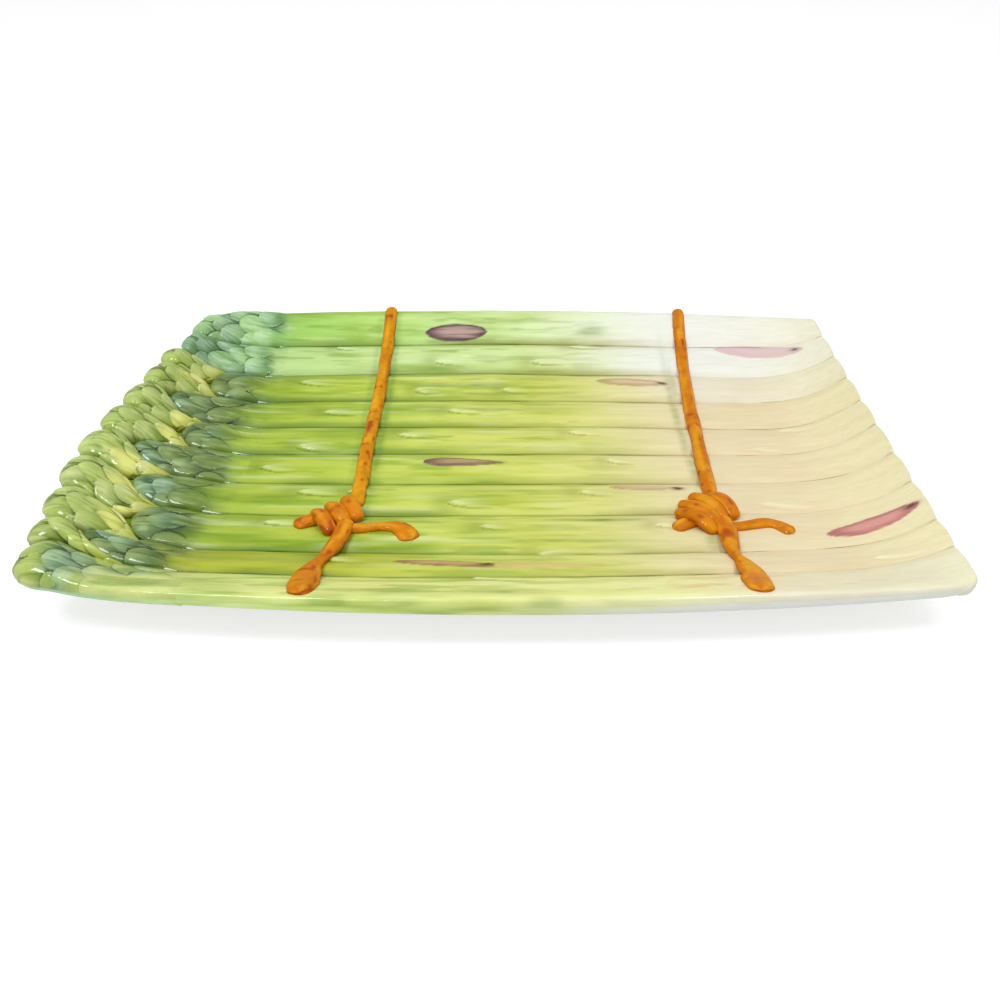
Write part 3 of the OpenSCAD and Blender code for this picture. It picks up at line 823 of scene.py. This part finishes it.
def head_piece(k, is_rim):
    """One head: a loft row by row between its borders, closed at its tip, with raised bud scales."""
    kind = "rim" if is_rim else "spear"
    name = f"{kind}_head_{k:02d}"
    first, last = (RIM_START_ROW, LAST_ROW) if is_rim else (0, TIP_ROWS[k - 1])
    over = HEAD_OVERHANG * (RIM_TIPS[k] if is_rim else EDGE_TIPS.get(k, 0))
    side = 0 if is_rim else {1: 1, SPEARS: -1}.get(k, 0)
    rng = np.random.RandomState((300 if is_rim else 200) + k)
    t = np.linspace(0, 1, int((last - first) * ROW_DETAIL))
    row_line = first + (last - first) * (1 - (1 - t) ** 1.25)
    u_line = spread_across(HEAD_COLUMNS, 0.6)
    row, u = np.meshgrid(row_line, u_line, indexing="ij")
    low, high = rim_borders(k, row) if is_rim else spear_borders(k, row)
    past = np.clip((row - LEFT_ROWS) / (LAST_ROW - LEFT_ROWS), 0, 1)
    closing = np.sqrt(np.clip(1 - past ** 2.6, 0, 1))
    mid, half = (low + high) / 2, (high - low) / 2 * closing
    x, y, bed = place_on_bed(row, mid + u * half, past, over)
    half_mm = half * half_depth(row_x(row))
    share = (row - first) / (last - first)

    # Height along the head, closing at its tip
    least, growth, begins, ends = GROWTH["front" if side < 0 else kind]
    grown = least + growth * smooth(begins, ends, share)
    end = np.clip((row - (last - TIP_RUN)) / TIP_RUN, 0, 1)
    close = closing if last == LAST_ROW else np.sqrt(np.clip(1 - end ** 2.2, 0, 1))
    full = np.ones_like(row) if is_rim else smooth(0.0, 2.6, row)
    arch = np.clip(1 - np.abs(u) ** (3.0 - 0.7 * full), 0, 1) ** (1 - 0.42 * full)
    foot = SEAM_HEIGHT * (1 - full)
    height = foot + (grown * close - foot) * arch
    outside = u * side > 0
    if side:
        height = np.where(outside, (rolled(np.abs(u), grown) + ROLL_DROP) * close - ROLL_DROP * close, height)

    # Underside: shallow on the dish, and a full round bottom where the head hangs past the edge
    down = np.sin(np.linspace(math.pi / 2, -math.pi / 2, UNDER_COLUMNS + 2))[None, 1:-1]
    rows_b, past_b, closing_b = row[:, :1], past[:, :1], closing[:, :1]
    depth = (0.5 + 2.5 * smooth(7.5, 9.0, rows_b)) * closing_b
    xb, yb, zb = place_on_bed(rows_b + 0 * down, mid[:, :1] + down * half[:, :1], past_b + 0 * down, over)
    sink = depth * np.clip(1 - np.abs(down) ** 5, 0, 1) ** 0.5
    if side:
        face = (FLOOR_Z + WELL_DROP - lip_z(xb)) * closing_b
        outer = smooth(-0.2, 0.7, down * side)
        rolled_to = ROLL_DROP * closing_b
        full_drop = rolled_to + (face - rolled_to) * np.clip(1 - np.abs(down) ** 9, 0, 1) ** 0.5
        sink = sink * (1 - outer) + full_drop * outer
    under = np.stack([xb, yb, zb - sink], -1)
    ring = eased(np.concatenate([np.stack([x, y, bed + height], -1), under], 1), ROW_DETAIL)

    # Bud scales, raised along the skin's normals
    centre = ring[:, HEAD_COLUMNS // 2]
    s = np.concatenate([[0], np.cumsum(np.linalg.norm(np.diff(centre, axis=0), axis=1))])[:, None] + 0 * u
    w = u * SKIN_HALF_WIDTH * np.clip(half_mm / 12.0, 0.3, 1.15) ** 0.5
    reach = s[-1, 0]
    begin = -5.0 if is_rim else (5.0 if k > 2 else 1.0)
    relief = scale_relief(s, w, scale_layout(begin, reach, rng, SCALE_SIZE[kind]))
    fade_in = smooth(0.2, 1.6, row - first)
    if k == SPEARS and not is_rim:
        inner_side = smooth(0.2, 1.6, row) * smooth(-0.1, 0.25, u)
        fade_in = np.maximum(smooth(reach - 36, reach - 24, s), inner_side)
    held = np.where(outside, 1.0, smooth(0.0, 0.16, 1 - np.abs(u)))
    lift = relief[0] * fade_in * held * (0.3 + 0.7 * close)
    ring[:, :HEAD_COLUMNS] += outward(ring)[:, :HEAD_COLUMNS] * lift[..., None]
    ring[..., 2] = soft_limit(ring[..., 2], TOP_Z)
    ring[..., 0] = -soft_limit(-ring[..., 0], TIP_X)
    ring[..., 1] = np.clip(ring[..., 1], -MIDDLE_DEPTH / 2, MIDDLE_DEPTH / 2)
    x, y = ring[:, :HEAD_COLUMNS, 0], ring[:, :HEAD_COLUMNS, 1]

    own = stalk_paint(k, x, y, np.where(outside, 0, u), np.zeros_like(x))
    colour = head_paint(k, row, x, y, s, relief, is_rim)
    if not is_rim:
        ragged = 0.8 * noise(x, y, 8, 5, 303)
        scaled = smooth(0.3, 3.6, row + ragged)
        if k <= 2:
            scaled = smooth(0.0, 2.2, row + ragged * smooth(0, 1, row))
        if k == SPEARS:
            scaled = scaled * (0.85 * fade_in + 0.15)
        # The scales' painted shadow lines and highlighted pale edges begin to show where the heads start
        hint = np.clip(relief[2] * 0.5 + relief[3] * 0.3, 0, 0.5) * fade_in
        colour = mix(own, colour, np.clip(scaled + hint * 0.5, 0, 1))
    crease = smooth(0.90, 1.0, np.abs(np.where(outside, 0, u)))
    if is_rim:
        crease_colour = RIM_CREASE
    else:
        crease_colour = mix(SPEAR_CREASE, stops(x, COLOUR_X, GROOVE), 1 - smooth(1, 4, row))
    colour = mix(colour, crease_colour, 0.75 * crease)
    if side:
        dropped = np.clip((sink - rolled_to) / np.maximum(face - rolled_to, 0.01), 0, 1)
        belly = face_paint(k, xb, yb - side * sink, dropped)
        # The corner's underside: its own pale teal green, lightened a little as a painted reflection
        belly = mix(belly, CORNER_BELLY_AND_SHEEN, smooth(2, 8, rows_b + 0 * xb) * 0.8)
    else:
        belly = np.broadcast_to(BELLY, xb.shape + (3,))
    build = Builder()
    build.add(ring, np.concatenate([colour, belly], 1), wrap=True, flip=True)
    build.cap(ring[-1], colour[-1, HEAD_COLUMNS // 2], flip=True)
    build.finish(name + "_glazed", name, head_glaze)


# Ties

def smooth_path(points, step=0.7):
    """A smooth curve through given points, evenly stepped."""
    p = np.array(points, float)
    p = np.vstack([2 * p[0] - p[1], p, 2 * p[-1] - p[-2]])
    out = []
    for i in range(1, len(p) - 2):
        n = max(2, int(np.linalg.norm(p[i + 1] - p[i]) / step))
        for t in np.arange(n) / n:
            a, b, c, d = p[i - 1], p[i], p[i + 1], p[i + 2]
            out.append(0.5 * (2 * b + (c - a) * t + (2 * a - 5 * b + 4 * c - d) * t ** 2
                              + (3 * b - a - 3 * c + d) * t ** 3))
    out.append(p[-2])
    return np.array(out)


ORANGE = linear((90, 54, 0))
ORANGE_CORD = linear((92, 62, 0))
ORANGE_DEEP = linear((72, 32, 0))
# Painted highlight on the ties' tops
ORANGE_HIGHLIGHT = linear((97, 72, 14))


def add_tube(build, path, widths, heights, seed, base):
    """A lumpy clay cord along a path: widths and heights are given at even shares of its length."""
    n = len(path)
    share = np.linspace(0, 1, n)
    reach = np.concatenate([[0], np.cumsum(np.linalg.norm(np.diff(path, axis=0), axis=1))])
    wide = np.interp(share, np.linspace(0, 1, len(widths)), widths) / 2
    tall = np.interp(share, np.linspace(0, 1, len(heights)), heights) / 2
    from_start = np.clip(1 - reach / (wide[0] * 0.9), 0, 1)
    from_end = np.clip(1 - (reach[-1] - reach) / (wide[-1] * 0.9), 0, 1)
    close = np.sqrt(np.clip(1 - from_start ** 2, 0.003, 1)) * np.sqrt(np.clip(1 - from_end ** 2.4, 0.003, 1))
    along = np.gradient(path, axis=0)
    along /= np.linalg.norm(along, axis=1, keepdims=True)
    side = np.cross(along, UP)
    side /= np.linalg.norm(side, axis=1, keepdims=True)
    up = np.cross(side, along)
    angle = np.linspace(0, 2 * math.pi, 29)[:-1]
    s, a = np.meshgrid(reach, angle, indexing="ij")
    lump = 1 + 0.10 * noise(s, np.sin(a) * 6 + 3 * np.cos(a), 7.5, 3.0, seed)
    pits = smooth(0.40, 0.75, noise(s, np.sin(a) * 5 + 2 * np.cos(a), 3.4, 2.0, seed + 1))
    r = (close[:, None] * lump) - 0.08 * pits
    points = (path[:, None] + side[:, None] * (np.cos(a) * r * wide[:, None])[..., None]
              + up[:, None] * (np.sin(a) * r * tall[:, None])[..., None])
    tone = noise(s, a * 2.2, 11, 1.4, seed + 2)
    # Darker in the pits, painted shade on the cord's underside, and a painted highlight in pale orange along
    # its top
    below = 1 - smooth(-0.5, 0.35, np.sin(a))
    colour = mix(base, ORANGE_DEEP, 0.12 + 0.38 * tone + 0.75 * pits + 0.55 * below)
    colour = mix(colour, ORANGE_HIGHLIGHT, 0.6 * np.clip(-tone, 0, 1) * smooth(0.2, 0.9, np.sin(a)))
    build.add(points, colour, wrap=True)
    build.cap(points[0], ORANGE_DEEP)
    build.cap(points[-1], ORANGE_DEEP, flip=True)


def laid(x, y, lift):
    """A point lifted over the spears' crowns, smoothed so that a cord bridges the seams."""
    at = np.float64(x)
    v = np.clip(y / half_depth(at), -1, 1)
    return (x, y, float(bed_z(at, v)) + SEAM_HEIGHT + 0.8 * float(rib(at)) + lift)


def raised(route, lifts):
    return [laid(x, y, lift) for (x, y), lift in zip(route, lifts)]


CORD_LIFT = 0.9
WRAP_RISE = 5.6
WRAP_SUNK = 1.4

# Cord routes on the plan, in millimetres
CORD_ROUTES = {
    "left": [(-55.8, 120.6), (-56, 107), (-56.3, 83), (-56.6, 54), (-56.8, 27), (-57, -1), (-56.5, -22),
             (-56.2, -46)],
    "right": [(105, 118.8), (104.4, 107), (103.2, 82), (101.2, 45), (99.4, 7), (98.2, -18), (97.6, -42)],
}
SIDE_ROUTES = {
    "left": [(-58, -65), (-53, -65), (-48, -63.5), (-42, -62.5), (-37, -63), (-33, -66.5), (-30, -72)],
    "right": [(99, -62), (104, -62.5), (110, -60.6), (117, -58.6), (122, -60.5), (126.5, -66)],
}
FRONT_ROUTES = {
    "left": [(-58, -60), (-58.8, -70), (-60.6, -80), (-63.2, -90), (-65.6, -97), (-66.4, -107),
             (-66.2, -115), (-65.5, -122.5)],
    "right": [(98, -57), (98.6, -67), (98, -77), (97.8, -86), (99.2, -93.5), (100.6, -102), (100, -111),
              (99.2, -120.5)],
}
NUB_ROUTES = {
    "left": [(-68, -58), (-73, -59), (-77, -60.5), (-80, -62)],
    "right": [(90, -57), (85.5, -59.5), (81, -62), (77.5, -64)],
}
WRAPS = {
    "left": [((-61, -42), (-53.5, -58)), ((-67.5, -47), (-58, -62)), ((-73, -52), (-63, -69))],
    "right": [((97, -38), (104.5, -56)), ((88.5, -39), (101, -57.5)), ((83, -45), (98, -62)),
              ((80.5, -51.5), (94.5, -67.5))],
}


def tie_piece(node, tubes, seed, base=ORANGE):
    build = Builder()
    for i, (path, widths, heights) in enumerate(tubes):
        add_tube(build, smooth_path(path), widths, heights, seed + 7 * i, base)
    build.finish(node + "_clay", node, tie_glaze)


def tie_pieces(side, seed):
    """A tie's five pieces: cord, knot, nub and the two free ends."""
    left = side == "left"
    route = CORD_ROUTES[side]
    cord = raised(route, [CORD_LIFT] * len(route))
    back_x, back_y = route[0]
    over = [(back_x, back_y + 0.6, cord[0][2] - 4.0)]
    tie_piece(f"{side}_tie_cord", [(over + cord, [6.0, 6.5, 6.0, 6.8, 6.2, 6.9, 6.2], [4.8] * 2)], seed,
              ORANGE_CORD if left else ORANGE)
    wraps = []
    for (x0, y0), (x1, y1) in WRAPS[side]:
        arc = []
        for f in (0, 0.14, 0.32, 0.5, 0.68, 0.86, 1.0):
            lift = WRAP_RISE * math.sin(math.pi * (0.06 + 0.88 * f)) ** 0.7 - WRAP_SUNK
            arc.append(laid(x0 + (x1 - x0) * f, y0 + (y1 - y0) * f, lift))
        wraps.append((arc, [5.4, 7.2, 7.4, 5.8], [4.8, 4.8]))
    tie_piece(f"{side}_tie_knot", wraps, seed + 40)
    nub = raised(NUB_ROUTES[side], (2.2, 1.8, 1.2, 0.6))
    tie_piece(f"{side}_tie_nub", [(nub, [6.0, 6.4, 7.0], [4.6, 4.2])], seed + 60)
    route = SIDE_ROUTES[side]
    tail = raised(route, np.linspace(1.6, 0.5, len(route)))
    widths = [4.6, 4.6, 5.2, 8.6, 9.4] if left else [4.8, 4.8, 5.4, 6.2, 6.0]
    tie_piece(f"{side}_tie_side_end", [(tail, widths, [3.8, 3.6, 3.6])], seed + 80)
    route = FRONT_ROUTES[side]
    tail = raised(route, np.linspace(2.6, 0.4, len(route)))
    widths = [7.0, 7.4, 6.6, 4.6, 10.0, 11.2, 8.6] if left else [7.4, 8.6, 6.4, 3.6, 9.6, 10.4, 10.0]
    tie_piece(f"{side}_tie_front_end", [(tail, widths, [4.4, 4.0, 3.6])], seed + 100)


# Body and foot: the body keeps a little inside the spears that cover it
BODY_INSET = 2.6
BODY_SUNK = 0.6


def border(grid):
    """The points round the edge of a grid, in order."""
    return np.concatenate([grid[0], grid[1:-1, -1], grid[-1, ::-1], grid[-2:0:-1, 0]])


def body_piece():
    """The clay body: its top is hidden by the spears, its underside shows from below."""
    xs = np.concatenate([np.linspace(BODY_LEFT + 0.8, -100, 60), np.linspace(-97, BODY_RIGHT - 1.6, 70)])
    vs = np.concatenate([np.linspace(-1, -0.9, 12)[:-1], np.linspace(-0.9, 0.9, 91),
                         np.linspace(0.9, 1, 12)[1:]])
    x, v = np.meshgrid(xs, vs, indexing="ij")
    y = v * (half_depth(x) - BODY_INSET)
    px = plan_x(x, v)
    top_points = np.stack([px, y, bed_z(x, v) - BODY_SUNK], -1)
    build = Builder()
    olive = mix(linear((66, 70, 14)), linear((46, 58, 12)), 0.5 + 0.5 * noise(x, y, 9, 4, 401))
    build.add(top_points, olive)
    lower = np.stack([px, y, under_z(x, v)], -1)
    build.add(lower, np.broadcast_to(BODY_WHITE, x.shape + (3,)), flip=True)
    rim_top, rim_low = border(top_points), border(lower)
    ring = np.stack([rim_top, (rim_top + rim_low) / 2, rim_low])
    paint = mix(BODY_WHITE, linear((62, 72, 42)), 1 - smooth(-150, -110, ring[..., 0]))
    build.add(ring, paint, wrap=True)
    build.finish("dish_body_glazed", "dish_body", white_glaze)


def foot_piece():
    """The foot ring: a rounded rectangle swept with a soft, unglazed standing edge."""
    length, depth, corner, width = 214.0, 136.0, 44.0, 7.0
    outline = []
    for cx, cy, a0 in ((1, 1, 0), (-1, 1, 90), (-1, -1, 180), (1, -1, 270)):
        for a in np.linspace(a0, a0 + 90, 16):
            outline.append((cx * (length / 2 - corner), cy * (depth / 2 - corner), math.radians(a)))
    outline = np.array(outline)
    profile = [(0, 3.6), (0, 1.0), (-0.3, 0.35), (-1.0, 0.0), (-width + 1.0, 0.0), (-width + 0.3, 0.35),
               (-width, 1.0), (-width, 3.6)]
    rows = []
    for out, z in profile:
        r = corner + out
        rows.append(np.stack([outline[:, 0] + r * np.cos(outline[:, 2]),
                              outline[:, 1] + r * np.sin(outline[:, 2]), np.full(len(outline), z)], -1))
    build = Builder()
    build.add(np.stack(rows), linear((86, 82, 74)), wrap=True, flip=True)
    build.finish("foot_ring_clay", "foot_ring", bare_clay)


# Studio

WORLD_LIGHT = 0.48

# Name, place, size, power and colour of each lamp; all point at the origin
LAMPS = [
    ("ceiling", (0.0, 0.35, 2.2), (3.0, 2.2), 15.5, (1.0, 0.99, 0.97)),
    ("window", (-0.42, -0.5, 1.1), (0.4, 0.3), 5.2, (0.86, 0.95, 1.0)),
    ("right window", (0.42, -0.5, 1.1), (0.28, 0.2), 2.4, (0.96, 0.98, 1.0)),
]
FLOOR_REACH = 6.0
FLOOR_TONE = (0.86, 0.86, 0.86, 1)
FLOOR_TONE_SEEN = (0.50, 0.50, 0.50, 1)
FLOOR_GLOW_SEEN = 0.65


def seen_straight(tree):
    """An output that is 1 for camera and transmission rays and 0 for light that bounces."""
    path = add_node(tree, "LightPath", {})
    rays = {0: path.outputs["Is Camera Ray"], 1: path.outputs["Is Transmission Ray"]}
    return add_node(tree, "Math", rays, operation="MAXIMUM").outputs[0]


def studio():
    """Soft light, and a world that looks white while it lights the platter less."""
    scene = bpy.context.scene
    scene.view_settings.view_transform = "Standard"
    world = bpy.data.worlds.new("studio")
    world.use_nodes = True
    scene.world = world
    tree = world.node_tree
    seen = seen_straight(tree)
    strength = add_node(tree, "MapRange", {"Value": seen, "To Min": WORLD_LIGHT, "To Max": 1.0})
    feed(tree, tree.nodes["Background"], {"Color": WHITE, "Strength": strength.outputs["Result"]})
    for row in LAMPS:
        lamp(*row)
    floor()


def lamp(name, at, size, power, colour):
    data = bpy.data.lights.new(name, "AREA")
    data.shape = "RECTANGLE"
    data.size, data.size_y = size
    data.energy = power
    data.color = colour
    lamp_object = new_object(name, data)
    lamp_object.location = at
    lamp_object.rotation_euler = (-Vector(at)).to_track_quat("-Z", "Y").to_euler()


def floor():
    """A white floor that keeps the platter's shadow."""
    mesh = bpy.data.meshes.new("floor")
    r = FLOOR_REACH
    mesh.from_pydata([(-r, -r, 0), (r, -r, 0), (r, r, 0), (-r, r, 0)], [], [(0, 1, 2, 3)])
    plane = new_object("floor", mesh)
    material = bpy.data.materials.new("floor")
    material.use_nodes = True
    tree = material.node_tree
    seen = seen_straight(tree)
    tone = add_node(tree, "Mix", {"Factor": seen, "A": FLOOR_TONE, "B": FLOOR_TONE_SEEN}, data_type="RGBA")
    shader = feed(tree, tree.nodes["Principled BSDF"], {
        "Base Color": tone.outputs["Result"], "Roughness": 1.0, "Specular IOR Level": 0.0})
    share = add_node(tree, "Math", {0: seen, 1: FLOOR_GLOW_SEEN}, operation="MULTIPLY")
    glow = add_node(tree, "Emission", {"Color": WHITE, "Strength": share.outputs[0]})
    both = add_node(tree, "AddShader", {0: shader.outputs[0], 1: glow.outputs[0]})
    feed(tree, tree.nodes["Material Output"], {"Surface": both.outputs[0]})
    mesh.materials.append(material)


# Camera: the photograph's place, fitted to the rim, the seams and the corners
CAMERA_SIDE = 6.29
CAMERA_DISTANCE = 440.9
CAMERA_ELEVATION = 30.27
CAMERA_PITCH = 34.99
CAMERA_ROLL = 0.117
CAMERA_LENS = 34.42
RIM_Z = 27.7


def camera():
    data = bpy.data.cameras.new("photo_view")
    data.sensor_width = 36.0
    data.lens = CAMERA_LENS
    view = new_object("photo_view", data)
    e = math.radians(CAMERA_ELEVATION)
    view.location = (CAMERA_SIDE * MM, -CAMERA_DISTANCE * math.cos(e) * MM,
                     (CAMERA_DISTANCE * math.sin(e) + RIM_Z) * MM)
    view.rotation_euler = (math.radians(90 - CAMERA_PITCH), 0, math.radians(CAMERA_ROLL))
    data.clip_start = 0.01
    bpy.context.scene.camera = view


camera()
studio()
body_piece()
foot_piece()
for number in range(1, SPEARS + 1):
    stalk_piece(number)
    head_piece(number, False)
for seam in RIM_TIPS:
    head_piece(seam, True)
tie_pieces("left", 501)
tie_pieces("right", 701)
